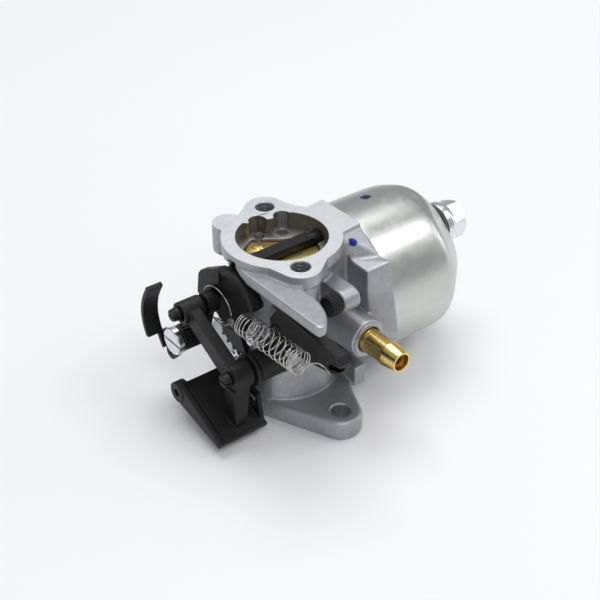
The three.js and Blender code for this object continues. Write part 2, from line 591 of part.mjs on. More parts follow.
// Blade that catches the cooling air: a sloping plate with an end rib, a boss and a notched rear rib.
function vaneBlade() {
  const front = { y: -18.5, z: 2.6 };
  const rear = { y: 4.4, z: 12.8 };
  const lean = Math.atan2(rear.z - front.z, rear.y - front.y);
  const offset = (point, distance) => [point.y - distance * Math.sin(lean), point.z + distance * Math.cos(lean)];
  const half = 0.9;
  const plate = shapeOf([offset(front, -half), offset(rear, -half), offset(rear, half), offset(front, half)]);
  const endRib = shapeOf([offset(front, -1), [-10, 3.4], [5, 6.5], [8, 9.6], [6.6, 13.4], offset(rear, 1.6),
    offset(front, 1.2)]);
  const rearRib = shapeOf([[-17, 4.2], [-7.6, 8], [-7.6, 14.4], [-15.4, 13.6]]);
  const bossPoint = [4.6, 10.4];
  const endBoss = cut(rod('x', -39.8, -36, bossPoint, 3.6), rod('x', -41, -38.6, bossPoint, 1.3, 1.3, 16));
  const window = shapeOf([[-14.6, 7.4], [-10, 9.2], [-10, 12], [-14, 11.6]]);
  return join(
    slabX(plate, -38, -20.6),
    cut(slabX(endRib, -39.4, -37.4), rod('x', -41, -38.6, bossPoint, 1.3, 1.3, 16)),
    endBoss,
    cut(slabX(rearRib, -22.2, -20.6), slabX(window, -24, -19)),
  );
}

function pivotSleeve() {
  return ring('x', -22.4, -12.9, pivotPoint(VANE_PIVOT), 5.25, 2, 36);
}

function pivotWasher() {
  return ring('x', -24.3, -23, pivotPoint(VANE_PIVOT), 5.6, 2, 36);
}

function pivotPin() {
  const stem = rod('x', -31.9, -4, pivotPoint(VANE_PIVOT), 1.5, 1.5, 20);
  const tip = rod('x', -34.2, -31.8, pivotPoint(VANE_PIVOT), 2, 2.4, 24);
  const split = box([-35, VANE_PIVOT.y - 3, VANE_PIVOT.z - 0.3], [-32, VANE_PIVOT.y + 3, VANE_PIVOT.z + 0.3]);
  return cut(join(stem, tip), split);
}

// C-shaped strip, clamped under the slotted screw by a round foot.
const HOOK_X = [-38.2, -32.5];

function clampHook() {
  const route = [[20.9, 41.4], [24.4, 34.6], [25.4, 29], [24.6, 24.6], [22.8, 20.6], [20.4, 16.8]];
  const curve = new THREE.CatmullRomCurve3(route.map(([y, z]) => new THREE.Vector3(y, z, 0)));
  const count = 16;
  const half = 0.75;
  const edges = [[], []];
  for (let i = 0; i <= count; i += 1) {
    const p = curve.getPoint(i / count);
    const t = curve.getTangent(i / count);
    edges[0].push([p.x - t.y * half, p.y + t.x * half]);
    edges[1].unshift([p.x + t.y * half, p.y - t.x * half]);
  }
  const strip = slabX(shapeOf(edges[0].concat(edges[1])), ...HOOK_X);
  const foot = capsuleX(CLAMP_SCREW, 4.4, { y: 18.6, z: 15.2 }, 2.6, -32.6, -31.3);
  const bridge = slabX(shapeOf([[16, 22.4], [22, 23], [18.8, 15.4], [14, 18]]), -33.4, -31.3);
  return cut(join(strip, foot, bridge), rod('x', -40, -30, pivotPoint(CLAMP_SCREW), 2.1, 2.1, 20),
    rod('x', -40, -30, [18.6, 15.4], 1, 1, 12), box([-45, 10, 10], [-34.2, 30, 21.5]),
    rod('x', -40, HOOK_X[1] - 0.1, pivotPoint(CLAMP_SCREW), 5.3));
}

function clampScrew() {
  const head = rod('x', -35.2, -33, pivotPoint(CLAMP_SCREW), 4.7, 4.8);
  const slot = box([-36, CLAMP_SCREW.y - 6, CLAMP_SCREW.z - 0.45],
    [-34.2, CLAMP_SCREW.y + 6, CLAMP_SCREW.z + 0.45]);
  return join(cut(head, slot), rod('x', -33.1, -21.6, pivotPoint(CLAMP_SCREW), 1.6, 1.6, 20));
}

function serratedCollar() {
  const teeth = 20;
  const points = [];
  for (let i = 0; i < 2 * teeth; i += 1) {
    const angle = Math.PI * i / teeth;
    const radius = i % 2 ? 4.4 : 3.9;
    points.push([CLAMP_SCREW.y + radius * Math.cos(angle), CLAMP_SCREW.z + radius * Math.sin(angle)]);
  }
  return cut(slabX(shapeOf(points), -31, -25.4), rod('x', -40, -20, pivotPoint(CLAMP_SCREW), 1.9, 1.9, 20));
}

// Speed arm: a flat lever whose hooked end holds the governor spring.
function speedArm() {
  const face = shapeOf([[-19.6, 47], [-15.4, 41], [-15.6, 34], [-20, 32.6], [-27, 34], [-40, 36.4], [-45.4, 37.4],
    [-48.6, 39], [-49.4, 42.6], [-47.6, 44.6]]);
  const hook = shapeOf([[-50, 41.6], [-45.2, 40.8], [-43.4, 39.4], [-44, 38.2], [-46, 39.2], [-50, 40.2]]);
  return cut(slabX(face, -16.6, -12.6), slabX(hook, -17, -14.6),
    rod('x', -20, -10, pivotPoint(SPEED_ARM_PIVOT), 1.7),
    rod('x', -20, -15.2, pivotPoint(SPEED_ARM_PIVOT), 3.2));
}

function pivotScrew(place, headX, endX, headR, shankR) {
  const head = rod('x', headX, headX + 1.3, pivotPoint(place), headR - 0.3, headR, 24);
  const slot = box([headX - 1, place.y - headR - 1, place.z - 0.35],
    [headX + 0.6, place.y + headR + 1, place.z + 0.35]);
  return join(cut(head, slot), rod('x', headX + 1.2, endX, pivotPoint(place), shankR, shankR, 16));
}

// Tension spring: a loop round the lever's boss, a coil and a hook over the end of the speed arm.
function governorSpring() {
  const { x, coilR, wire, start, end, turns } = SPRING;
  const points = [];
  const loop = { y: 5.7, z: 36.4, halfWidth: 7.7, halfHeight: 6.4 };
  for (let degrees = 160; degrees >= -115; degrees -= 25) {
    const angle = THREE.MathUtils.degToRad(180 - degrees);
    points.push(new THREE.Vector3(x, loop.y + loop.halfWidth * Math.cos(angle),
      loop.z + loop.halfHeight * Math.sin(angle)));
  }
  const perTurn = 9;
  for (let i = 0; i <= turns * perTurn; i += 1) {
    const along = i / (turns * perTurn);
    const spread = along - 0.09 * Math.sin(2 * Math.PI * along);
    const angle = -0.5 * Math.PI + 2 * Math.PI * turns * along;
    points.push(new THREE.Vector3(x + coilR * Math.cos(angle), start[0] + (end[0] - start[0]) * spread,
      start[1] + (end[1] - start[1]) * spread + coilR * Math.sin(angle)));
  }
  const tail = [[-20.6, -41, 41.6], [-18.4, -44.8, 41], [-17.3, -46, 38]];
  points.push(...tail.map((place) => new THREE.Vector3(...place)));
  const corners = 5;
  const section = shapeOf(Array.from({ length: corners }, (_, i) => {
    const angle = 2 * Math.PI * i / corners;
    return [wire / 2 * Math.cos(angle), wire / 2 * Math.sin(angle)];
  }));
  const curve = new THREE.CatmullRomCurve3(points, false, 'centripetal');
  return new THREE.ExtrudeGeometry(section, { steps: points.length, extrudePath: curve, bevelEnabled: false });
}

// ---------------------------------------------------------------- assembly
const PAINT = {
  casting: [0xa9adb0, 0.55, 0.85],
  passivated: [0xb9bbac, 0.35, 0.9],
  zinc: [0xc9d2d4, 0.3, 0.95],
  brass: [0xc9a648, 0.28, 0.95],
  steel: [0x9a9a98, 0.35, 0.95],
  black: [0x1d1e20, 0.5, 0],
  blackSteel: [0x232426, 0.4, 0.6],
  gasket: [0x2b2a28, 0.8, 0],
  fibre: [0x3c3a38, 0.85, 0],
  floatBrown: [0x5a4a38, 0.7, 0],
};

const assembly = new THREE.Group();

function add(name, paint, piece) {
  const [color, roughness, metalness] = PAINT[paint];
  const geometry = piece.isBufferGeometry ? piece : geometryOf(piece);
  const mesh = new THREE.Mesh(geometry, new THREE.MeshStandardMaterial({ color, roughness, metalness }));
  mesh.name = name;
  assembly.add(mesh);
}

add('body_casting', 'casting', bodyCasting());
add('float_bowl', 'passivated', floatBowl());
add('bowl_gasket', 'gasket', bowlGasket());
add('bowl_bolt', 'zinc', bowlBolt());
add('bowl_bolt_washer', 'fibre', ring('x', WASHER.from, WASHER.to, pivotPoint(JET), WASHER.outerR, 3.4, 28));
add('fuel_nipple', 'brass', fuelNipple());
add('needle_seat', 'brass', needleSeat());
add('inlet_needle', 'steel', inletNeedle());
add('float', 'floatBrown', float());
add('float_hinge_pin', 'steel',
  rod('z', FLOAT_PIN.z - FLOAT_PIN.length / 2, FLOAT_PIN.z + FLOAT_PIN.length / 2, [FLOAT_PIN.x, FLOAT_PIN.y],
    0.9, 0.9, 16));
add('emulsion_tube', 'brass', emulsionTube());
add('main_jet', 'brass', ring('x', 45.2, 48.4, pivotPoint(JET), 3.1, 0.6, 20));
add('throttle_shaft', 'steel', throttleShaft());
add('throttle_plate', 'brass', throttlePlate());
add('throttle_plate_screw', 'steel', throttlePlateScrew());
add('throttle_pinion', 'zinc', throttlePinion());
add('choke_shaft', 'black', chokeShaft());
add('choke_plate', 'brass', chokePlate());
add('choke_plate_screw', 'steel', chokePlateScrew());
add('choke_lever', 'black', chokeLever());
add('governor_lever', 'black', governorLever());
add('clamp_hook', 'black', clampHook());
add('clamp_screw', 'zinc', clampScrew());
add('serrated_collar', 'black', serratedCollar());
add('air_vane_lever', 'black', vaneLever());
add('vane_pivot_sleeve', 'black', pivotSleeve());
add('vane_pivot_washer', 'black', pivotWasher());
add('vane_pivot_pin', 'black', pivotPin());
add('speed_arm', 'black', speedArm());
add('speed_arm_screw', 'blackSteel', pivotScrew(SPEED_ARM_PIVOT, -16.8, -7, 2.8, 1.4));
add('governor_spring', 'steel', governorSpring());
add('idle_speed_screw', 'zinc', pivotScrew(IDLE_SCREW, -19.6, -9.6, 2, 1.2));
add('welch_plug', 'zinc', rod('x', 15.3, 16.6, [8, THROTTLE.z + 8], 3.9, 3.5, 28));
add('mixture_screw', 'brass', join(rod('x', 3.4, 7, pivotPoint(MIXTURE_SCREW), 1.6, 1.6, 16),
  rod('x', 6.9, 8.9, pivotPoint(MIXTURE_SCREW), 1.6, 0.4, 16)));
add('mixture_screw_cap', 'black', rod('x', -1.1, 3.1, pivotPoint(MIXTURE_SCREW), 3.3, 3.5, 24));

const bounds = new THREE.Box3().setFromObject(assembly);
const middle = bounds.getCenter(new THREE.Vector3());
assembly.position.set(-middle.x, -middle.y, -bounds.min.z);

const carburetor = new THREE.Group();
carburetor.add(assembly);

export default carburetor;
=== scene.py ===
"""Looks of the carburetor: fine meshes, materials, a plain floor, soft light and the camera.

Places are given with at(x, y, z), in millimetres from the middle of the main bore at the engine face:
+Z runs up the bore, +X points towards the float bowl and -Y along the fuel nipple.
"""
import json
import math

import bmesh
import bpy
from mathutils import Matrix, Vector


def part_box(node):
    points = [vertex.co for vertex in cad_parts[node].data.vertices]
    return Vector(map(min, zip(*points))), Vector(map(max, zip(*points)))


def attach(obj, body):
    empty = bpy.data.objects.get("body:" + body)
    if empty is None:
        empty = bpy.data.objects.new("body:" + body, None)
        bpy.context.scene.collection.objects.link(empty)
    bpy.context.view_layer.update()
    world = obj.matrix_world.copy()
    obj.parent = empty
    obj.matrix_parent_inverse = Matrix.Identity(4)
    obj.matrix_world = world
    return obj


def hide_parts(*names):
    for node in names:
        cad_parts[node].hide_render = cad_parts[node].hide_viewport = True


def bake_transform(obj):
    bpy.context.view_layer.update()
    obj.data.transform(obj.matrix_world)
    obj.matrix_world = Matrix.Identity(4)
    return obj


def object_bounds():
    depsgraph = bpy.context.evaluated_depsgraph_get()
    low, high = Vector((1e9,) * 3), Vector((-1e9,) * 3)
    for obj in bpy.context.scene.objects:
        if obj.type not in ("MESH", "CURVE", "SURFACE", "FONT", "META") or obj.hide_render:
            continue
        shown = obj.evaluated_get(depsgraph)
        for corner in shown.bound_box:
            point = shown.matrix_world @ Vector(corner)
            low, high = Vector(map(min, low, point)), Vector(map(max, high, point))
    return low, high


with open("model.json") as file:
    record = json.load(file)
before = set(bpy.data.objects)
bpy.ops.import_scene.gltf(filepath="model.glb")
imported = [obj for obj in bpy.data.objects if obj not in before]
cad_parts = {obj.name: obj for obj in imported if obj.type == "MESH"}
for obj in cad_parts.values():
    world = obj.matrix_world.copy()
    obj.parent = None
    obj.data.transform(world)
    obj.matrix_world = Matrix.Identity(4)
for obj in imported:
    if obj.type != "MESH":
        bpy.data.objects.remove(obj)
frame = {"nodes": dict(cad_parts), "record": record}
CAD_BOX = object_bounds()

MM = 0.001
FLANGE_BOTTOM = -1.0
BODY_TOP = 57.0

BODY_OF = {node: body for body, nodes in frame["record"]["behaviour"]["bodies"].items() for node in nodes}
screw_low, screw_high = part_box("choke_plate_screw")
BORE = Vector(((screw_low.x + screw_high.x) / 2, (screw_low.y + screw_high.y) / 2,
               CAD_BOX[0].z - FLANGE_BOTTOM * MM))

# Axes of the round pieces: (y, z) for those along X, (x, z) for the nipple, which lies along Y.
JET = (0.0, 36.0)
BOWL = (0, 29.4)
BOWL_RADIUS = 26.5
BOWL_WALL = 0.9
NIPPLE = (12.0, 28.0)
THROTTLE = (0, 14)
CHOKE = (0, 50.8)
WELCH_PLUG = (8, 22)
VANE_PIVOT = (-14.0, 23.5)
LINK_PIN = (10.2, 36.0)
CLAMP_SCREW = (13.1, 23.8)
IDLE_SCREW = (-8.2, 29.3)
MIXTURE_SCREW = (-24.0, 43.0)
SPEED_ARM_PIVOT = (-19.0, 37.0)

CLEANER_HOLE = (6.54, 17.9)
STUD_DISTANCE = 30.5
CHAMBER_FLOOR = 51.2
CHAMBER_RADIUS = 14.85
BLEED_HOLES = ((-0.3, 12.1), (7.3, 9.4))
HEXAGON_FLATS = 12.7
HEXAGON_TURN = 40


def at(x, y, z):
    return BORE + Vector((x, y, z)) * MM


# ---------------------------------------------------------------- meshes
SHARP_ANGLE = 35
WELD = 0.002 * MM


def new_object(name, vertices, faces):
    mesh = bpy.data.meshes.new(name)
    mesh.from_pydata([tuple(v) for v in vertices], [], faces)
    mesh.update()
    thing = bpy.data.objects.new(name, mesh)
    bpy.context.scene.collection.objects.link(thing)
    return thing


def edit(thing, action):
    work = bmesh.new()
    work.from_mesh(thing.data)
    action(work)
    work.to_mesh(thing.data)
    work.free()
    thing.data.update()
    return thing


def tidy(thing):
    def action(work):
        bmesh.ops.remove_doubles(work, verts=work.verts, dist=WELD)
        bmesh.ops.dissolve_degenerate(work, edges=work.edges, dist=WELD)
        bmesh.ops.recalc_face_normals(work, faces=work.faces)
    return edit(thing, action)


def apply_modifiers(thing):
    graph = bpy.context.evaluated_depsgraph_get()
    mesh = bpy.data.meshes.new_from_object(thing.evaluated_get(graph))
    thing.modifiers.clear()
    thing.data = mesh
    return thing


def shade(thing, angle=SHARP_ANGLE):
    thing.data.polygons.foreach_set("use_smooth", [True] * len(thing.data.polygons))
    thing.data.set_sharp_from_angle(angle=math.radians(angle))
    return thing


def boolean(thing, tool, operation="DIFFERENCE"):
    modifier = thing.modifiers.new("cut", "BOOLEAN")
    modifier.object = tool
    modifier.operation = operation
    modifier.solver = "MANIFOLD"
    apply_modifiers(thing)
    bpy.data.objects.remove(tool)
    return thing


def together(things):
    first, *others = things
    for other in others:
        boolean(first, other, "UNION")
    return first


def bevel(thing, width):
    modifier = thing.modifiers.new("edge", "BEVEL")
    modifier.width = width * MM
    modifier.segments = 2
    modifier.limit_method = "ANGLE"
    modifier.angle_limit = math.radians(SHARP_ANGLE)
    return apply_modifiers(thing)


def cad_copy(node):
    thing = bpy.data.objects.new(node + "_fine", frame["nodes"][node].data.copy())
    thing.data.materials.clear()
    bpy.context.scene.collection.objects.link(thing)
    return tidy(thing)


def soften(thing, voxel, rounds):
    """Soft edges and fillets, as moulding and die casting leave them."""
    remesh = thing.modifiers.new("skin", "REMESH")
    remesh.mode = "VOXEL"
    remesh.voxel_size = voxel * MM
    smooth = thing.modifiers.new("smooth", "SMOOTH")
    smooth.factor = 0.5
    smooth.iterations = rounds
    return apply_modifiers(thing)


def edged(thing, width):
    """Flat faces made whole again, with a narrow bevel along the real edges."""
    def action(work):
        bmesh.ops.dissolve_limit(work, angle_limit=math.radians(1), verts=work.verts, edges=work.edges)
    return bevel(edit(thing, action), width)


AXES = {
    "x": lambda along, u, v: (along, u, v),
    "y": lambda along, u, v: (u, along, v),
    "z": lambda along, u, v: (u, v, along),
}
CORNER_STEPS = 4


def rounded(profile, radius, closed):
    """The profile with each corner off the axis turned into a short curve."""
    count = len(profile)
    result = []
    for i, corner in enumerate(profile):
        ends = not closed and i in (0, count - 1)
        if ends or radius == 0:
            result.append(corner)
            continue
        here = Vector(corner)
        back = Vector(profile[i - 1]) - here
        ahead = Vector(profile[(i + 1) % count]) - here
        reach = min(radius, 0.45 * back.length, 0.45 * ahead.length)
        start = here + back.normalized() * reach
        end = here + ahead.normalized() * reach
        for step in range(CORNER_STEPS + 1):
            t = step / CORNER_STEPS
            result.append(tuple(start * (1 - t) ** 2 + here * 2 * t * (1 - t) + end * t ** 2))
    return result


def lathe(name, axis, centre, profile, radius=0.15, sides=72):
    """Solid of revolution; a profile that doesn't start on the axis closes on itself."""
    closed = profile[0][0] > 0
    points = rounded(profile, radius, closed)
    vertices = []
    for distance, along in points:
        for k in range(sides):
            turn = 2 * math.pi * k / sides
            u = centre[0] + distance * math.cos(turn)
            v = centre[1] + distance * math.sin(turn)
            vertices.append(at(*AXES[axis](along, u, v)))
    rows = len(points)
    faces = []
    for row in range(rows if closed else rows - 1):
        following = (row + 1) % rows
        for k in range(sides):
            n = (k + 1) % sides
            faces.append((row * sides + k, row * sides + n, following * sides + n, following * sides + k))
    return tidy(new_object(name, vertices, faces))


def prism(name, axis, outline, low, high):
    count = len(outline)
    vertices = [at(*AXES[axis](along, u, v)) for along in (low, high) for u, v in outline]
    faces = [tuple(range(count)), tuple(range(2 * count - 1, count - 1, -1))]
    faces += [(i, i + count, (i + 1) % count + count, (i + 1) % count) for i in range(count)]
    return tidy(new_object(name, vertices, faces))


def rod(axis, centre, low, high, radius, sides=72):
    return lathe("tool", axis, centre, [(0, low), (radius, low), (radius, high), (0, high)], 0, sides)


def block(low, high):
    outline = [(low[1], low[2]), (high[1], low[2]), (high[1], high[2]), (low[1], high[2])]
    return prism("tool", "x", outline, low[0], high[0])


def threaded(centre, low, high, minor, major, pitch):
    """Screw-shaped tool that leaves an internal thread along Z."""
    sides = 48
    rows_per_turn = 8
    rows = round((high - low) / pitch * rows_per_turn)
    vertices = []
    for row in range(rows + 1):
        z = low + (high - low) * row / rows
        for k in range(sides):
            phase = (z / pitch - k / sides) % 1
            reach = minor + (major - minor) * (1 - abs(2 * phase - 1))
            turn = 2 * math.pi * k / sides
            vertices.append(at(centre[0] + reach * math.cos(turn), centre[1] + reach * math.sin(turn), z))
    faces = [(row * sides + k, row * sides + (k + 1) % sides, (row + 1) * sides + (k + 1) % sides,
              (row + 1) * sides + k) for row in range(rows) for k in range(sides)]
    faces += [tuple(range(sides)), tuple(range(rows * sides + sides - 1, rows * sides - 1, -1))]
    return tidy(new_object("thread", vertices, faces))


def ribbed_outline(centre, low, high, ribs):
    """Outline with ribs: each one is a flat top, a slope and a flat root, in shares of its pitch."""
    points = []
    for i in range(ribs):
        for offset, reach in ((0, high), (0.35, high), (0.5, low), (0.9, low)):
            turn = 2 * math.pi * (i + offset) / ribs
            points.append((centre[0] + reach * math.cos(turn), centre[1] + reach * math.sin(turn)))
    return points


def finish_piece(thing, node, *materials):
    thing.name = node + "_fine"
    thing.data.name = thing.name
    thing.data.materials.clear()
    for material in materials:
        thing.data.materials.append(material)
    thing.data.polygons.foreach_set("material_index", [0] * len(thing.data.polygons))
    shade(thing)
    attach(thing, BODY_OF[node])
    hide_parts(node)


# ---------------------------------------------------------------- materials
class Nodes:
    """Short way to build one material's node tree."""

    def __init__(self, name):
        self.material = bpy.data.materials.new(name)
        self.material.use_nodes = True
        self.tree = self.material.node_tree
        self.shader = self.tree.nodes["Principled BSDF"]
        self.place = self.tree.nodes.new("ShaderNodeTexCoord").outputs["Object"]

    def link(self, output, socket):
        self.tree.links.new(output, socket)

    def stretched(self, scale):
        mapping = self.tree.nodes.new("ShaderNodeMapping")
        mapping.inputs["Scale"].default_value = scale
        self.link(self.place, mapping.inputs["Vector"])
        return mapping.outputs["Vector"]

    def noise(self, scale, detail=3.0, roughness=0.55, vector=None):
        node = self.tree.nodes.new("ShaderNodeTexNoise")
        node.inputs["Scale"].default_value = scale
        node.inputs["Detail"].default_value = detail
        node.inputs["Roughness"].default_value = roughness
        self.link(vector or self.place, node.inputs["Vector"])
        return node.outputs["Fac"]

    def ramp(self, value, stops):
        node = self.tree.nodes.new("ShaderNodeValToRGB")
        elements = node.color_ramp.elements
        while len(elements) < len(stops):
            elements.new(0.5)
        for element, (position, color) in zip(elements, stops):
            element.position = position
            element.color = (*color, 1) if len(color) == 3 else color
        self.link(value, node.inputs["Fac"])
        return node.outputs["Color"]

    def mix(self, factor, first, second):
        node = self.tree.nodes.new("ShaderNodeMix")
        node.data_type = "RGBA"
        for value, name in ((factor, "Factor"), (first, "A"), (second, "B")):
            socket = node.inputs[name]
            if isinstance(value, bpy.types.NodeSocket):
                self.link(value, socket)
            elif isinstance(value, (int, float)):
                socket.default_value = value
            else:
                socket.default_value = (*value, 1)
        return node.outputs["Result"]

    def spread(self, value, low, high, start=0.3, end=0.7):
        node = self.tree.nodes.new("ShaderNodeMapRange")
        node.inputs["From Min"].default_value = start
        node.inputs["From Max"].default_value = end
        node.inputs["To Min"].default_value = low
        node.inputs["To Max"].default_value = high
        self.link(value, node.inputs["Value"])
        return node.outputs["Result"]

    def bump(self, height, depth):
        node = self.tree.nodes.new("ShaderNodeBump")
        node.inputs["Distance"].default_value = depth * MM
        node.inputs["Strength"].default_value = 1.0
        self.link(height, node.inputs["Height"])
        self.link(node.outputs["Normal"], self.shader.inputs["Normal"])

    def near(self, point, radius):
        """1 inside a ragged blot round a point, 0 outside."""
        node = self.tree.nodes.new("ShaderNodeVectorMath")
        node.operation = "DISTANCE"
        node.inputs[1].default_value = point
        self.link(self.place, node.inputs[0])
        ragged = self.tree.nodes.new("ShaderNodeMath")
        ragged.operation = "MULTIPLY_ADD"
        ragged.inputs[1].default_value = -1.1 * radius * MM
        self.link(self.noise(900, 2), ragged.inputs[0])
        self.link(node.outputs["Value"], ragged.inputs[2])
        return self.spread(ragged.outputs[0], 1, 0, 0.3 * radius * MM, 0.5 * radius * MM)

    def edges(self, low, high):
        """0 on flats, rising to 1 on convex edges."""
        geometry = self.tree.nodes.new("ShaderNodeNewGeometry")
        return self.spread(geometry.outputs["Pointiness"], 0, 1, low, high)

    def surface(self, color, metallic, roughness):
        for value, name in ((color, "Base Color"), (roughness, "Roughness")):
            if isinstance(value, bpy.types.NodeSocket):
                self.link(value, self.shader.inputs[name])
            else:
                self.shader.inputs[name].default_value = value
        self.shader.inputs["Metallic"].default_value = metallic
        return self.material


INK = (0.015, 0.03, 0.22)


def cast_aluminium():
    n = Nodes("cast_aluminium")
    clouds = n.ramp(n.noise(140, 4), [(0.3, (0.33, 0.34, 0.36)), (0.7, (0.42, 0.43, 0.45))])
    streaks = n.noise(1.0, 3, vector=n.stretched((300, 900, 260)))
    flow = n.ramp(streaks, [(0.35, (0.36, 0.37, 0.395)), (0.65, (0.45, 0.46, 0.48))])
    color = n.mix(0.45, clouds, flow)
    color = n.mix(n.edges(0.54, 0.64), color, (0.52, 0.53, 0.55))
    color = n.mix(n.near(at(18.0, -13.1, 54.1), 1.5), color, INK)
    grain = n.noise(1500, 4, 0.65)
    n.bump(grain, 0.05)
    return n.surface(color, 0.8, n.spread(n.noise(500), 0.38, 0.52))


def machined_aluminium():
    n = Nodes("machined_aluminium")
    lines = n.noise(1.0, 5, 0.7, n.stretched((240, 4200, 300)))
    pits = n.ramp(n.noise(1600, 2), [(0.28, (0.45, 0.46, 0.47)), (0.36, (0.80, 0.82, 0.84))])
    color = n.mix(0.35, pits, n.ramp(lines, [(0.3, (0.66, 0.68, 0.70)), (0.7, (0.84, 0.86, 0.88))]))
    n.bump(lines, 0.012)
    return n.surface(color, 0.9, n.spread(lines, 0.34, 0.5))


# Inside of the bore and chamber: aluminium painted much darker than the outside, as painted shade.
def shaded_bore_aluminium():
    n = Nodes("shaded_bore_aluminium")
    rings = n.noise(1.0, 4, 0.6, n.stretched((200, 200, 3600)))
    color = n.ramp(n.noise(260, 3), [(0.3, (0.20, 0.185, 0.165)), (0.7, (0.33, 0.31, 0.28))])
    n.bump(rings, 0.015)
    return n.surface(color, 0.85, n.spread(rings, 0.4, 0.56))


def passivated_steel():
    n = Nodes("passivated_steel")
    cloud = n.ramp(n.noise(70, 3), [(0.3, (0.53, 0.55, 0.51)), (0.7, (0.60, 0.605, 0.57))])
    drawn = n.noise(1.0, 5, 0.65, n.stretched((45, 1500, 1500)))
    color = n.mix(0.35, cloud, n.ramp(drawn, [(0.3, (0.50, 0.52, 0.495)), (0.7, (0.65, 0.65, 0.615))]))
    color = n.mix(n.near(at(38.5, 4.4, 55.5), 1.9), color, INK)
    n.bump(drawn, 0.006)
    return n.surface(color, 1.0, n.spread(n.noise(300), 0.27, 0.37))


def bright_zinc():
    n = Nodes("bright_zinc")
    color = n.ramp(n.noise(420, 4), [(0.3, (0.70, 0.73, 0.76)), (0.7, (0.80, 0.83, 0.86))])
    n.bump(n.noise(1800, 3), 0.004)
    return n.surface(color, 1.0, n.spread(n.noise(300), 0.22, 0.3))


def turned_brass():
    n = Nodes("turned_brass")
    rings = n.noise(1.0, 4, 0.6, n.stretched((120, 5200, 120)))
    color = n.ramp(n.noise(300, 3), [(0.3, (0.72, 0.50, 0.16)), (0.7, (0.84, 0.63, 0.25))])
    n.bump(rings, 0.01)
    return n.surface(color, 1.0, n.spread(rings, 0.16, 0.3))


def stamped_brass():
    n = Nodes("stamped_brass")
    grain = n.noise(1.0, 4, 0.6, n.stretched((300, 2600, 300)))
    color = n.ramp(n.noise(260, 3), [(0.3, (0.70, 0.50, 0.17)), (0.7, (0.86, 0.66, 0.28))])
    n.bump(grain, 0.015)
    return n.surface(color, 1.0, n.spread(grain, 0.24, 0.42))


def bright_steel():
    n = Nodes("bright_steel")
    color = n.ramp(n.noise(900, 3), [(0.3, (0.48, 0.46, 0.43)), (0.7, (0.66, 0.64, 0.60))])
    n.bump(n.noise(2600, 2), 0.006)
    return n.surface(color, 1.0, n.spread(n.noise(1200), 0.2, 0.34))


def black_moulding():
    n = Nodes("black_moulding")
    color = n.ramp(n.noise(260, 3), [(0.3, (0.004, 0.004, 0.0045)), (0.7, (0.009, 0.009, 0.0095))])
    # Painted highlight: convex edges of the black plastic are lightened.
    color = n.mix(n.edges(0.52, 0.62), color, (0.018, 0.018, 0.02))
    n.bump(n.noise(2400, 4, 0.6), 0.02)
    n.shader.inputs["Specular IOR Level"].default_value = 0.32
    return n.surface(color, 0.0, n.spread(n.noise(800), 0.4, 0.54))


def black_steel():
    n = Nodes("black_steel")
    color = n.ramp(n.noise(400, 3), [(0.3, (0.012, 0.012, 0.013)), (0.7, (0.024, 0.024, 0.026))])
    n.bump(n.noise(2000, 3), 0.01)
    return n.surface(color, 0.4, n.spread(n.noise(800), 0.32, 0.46))


def gasket_rubber():
    n = Nodes("gasket_rubber")
    color = n.ramp(n.noise(600, 3), [(0.3, (0.02, 0.02, 0.02)), (0.7, (0.045, 0.043, 0.04))])
    n.bump(n.noise(1600, 4), 0.03)
    return n.surface(color, 0.0, n.spread(n.noise(900), 0.65, 0.85))


def vulcanised_fibre():
    n = Nodes("vulcanised_fibre")
    fibres = n.noise(1.0, 5, 0.7, n.stretched((2200, 500, 500)))
    color = n.ramp(fibres, [(0.3, (0.05, 0.048, 0.045)), (0.7, (0.11, 0.10, 0.09))])
    n.bump(n.noise(1800, 4), 0.03)
    return n.surface(color, 0.0, n.spread(n.noise(900), 0.6, 0.8))


def float_plastic():
    n = Nodes("float_plastic")
    color = n.ramp(n.noise(350, 4), [(0.3, (0.10, 0.075, 0.05)), (0.7, (0.16, 0.12, 0.08))])
    n.bump(n.noise(2000, 4), 0.03)
    return n.surface(color, 0.0, n.spread(n.noise(900), 0.45, 0.6))


CAST = cast_aluminium()
MACHINED = machined_aluminium()
SHADED_BORE = shaded_bore_aluminium()
BOWL_STEEL = passivated_steel()
ZINC = bright_zinc()
BRASS = turned_brass()
PLATE_BRASS = stamped_brass()
STEEL = bright_steel()
BLACK = black_moulding()
BLACK_STEEL = black_steel()
RUBBER = gasket_rubber()
FIBRE = vulcanised_fibre()
FLOAT = float_plastic()


# ---------------------------------------------------------------- casting
def chamber_tool():
    """Round choke chamber with a wall along its far side and two scallops over the bleed holes."""
    end = BODY_TOP + 2
    chamber = rod("z", (0, 0), CHAMBER_FLOOR, end, CHAMBER_RADIUS, 96)
    far_side = [(-7, 16), (-4, 12.6), (4.6, 10.2), (10.6, 9.4), (14, 12)]
    boolean(chamber, prism("tool", "z", far_side, CHAMBER_FLOOR - 1, end + 1))
    scallops = [rod("z", centre, CHAMBER_FLOOR, end, 3, 48) for centre in ((-0.6, 12.2), (7.6, 9.9))]
    return together([chamber, *scallops])


def bore_tool():
    """Main bore with its venturi, less the ledge under the bleed holes."""
    profile = [(0, -3), (10, -3), (10, 24.4), (8, 33), (8, 38), (12.2, 45), (12.2, 53), (0, 53)]
    bore = lathe("bore", "z", (0, 0), profile, 0, 96)
    ledge = [(-6.5, 15), (-3.4, 12.3), (4, 6.2), (9.4, 3.6), (16, 3.6), (16, 16)]
    return boolean(bore, prism("tool", "z", ledge, 46, CHAMBER_FLOOR))


def joint_faces_raised(thing, top, bottom, allowance):
    """Extra metal on the two joint faces, which is milled off again after the edges are softened."""
    touching = 0.01 * MM
    for vertex in thing.data.vertices:
        if vertex.co.z > top - touching:
            vertex.co.z += allowance
        elif vertex.co.z < bottom + touching:
            vertex.co.z -= allowance


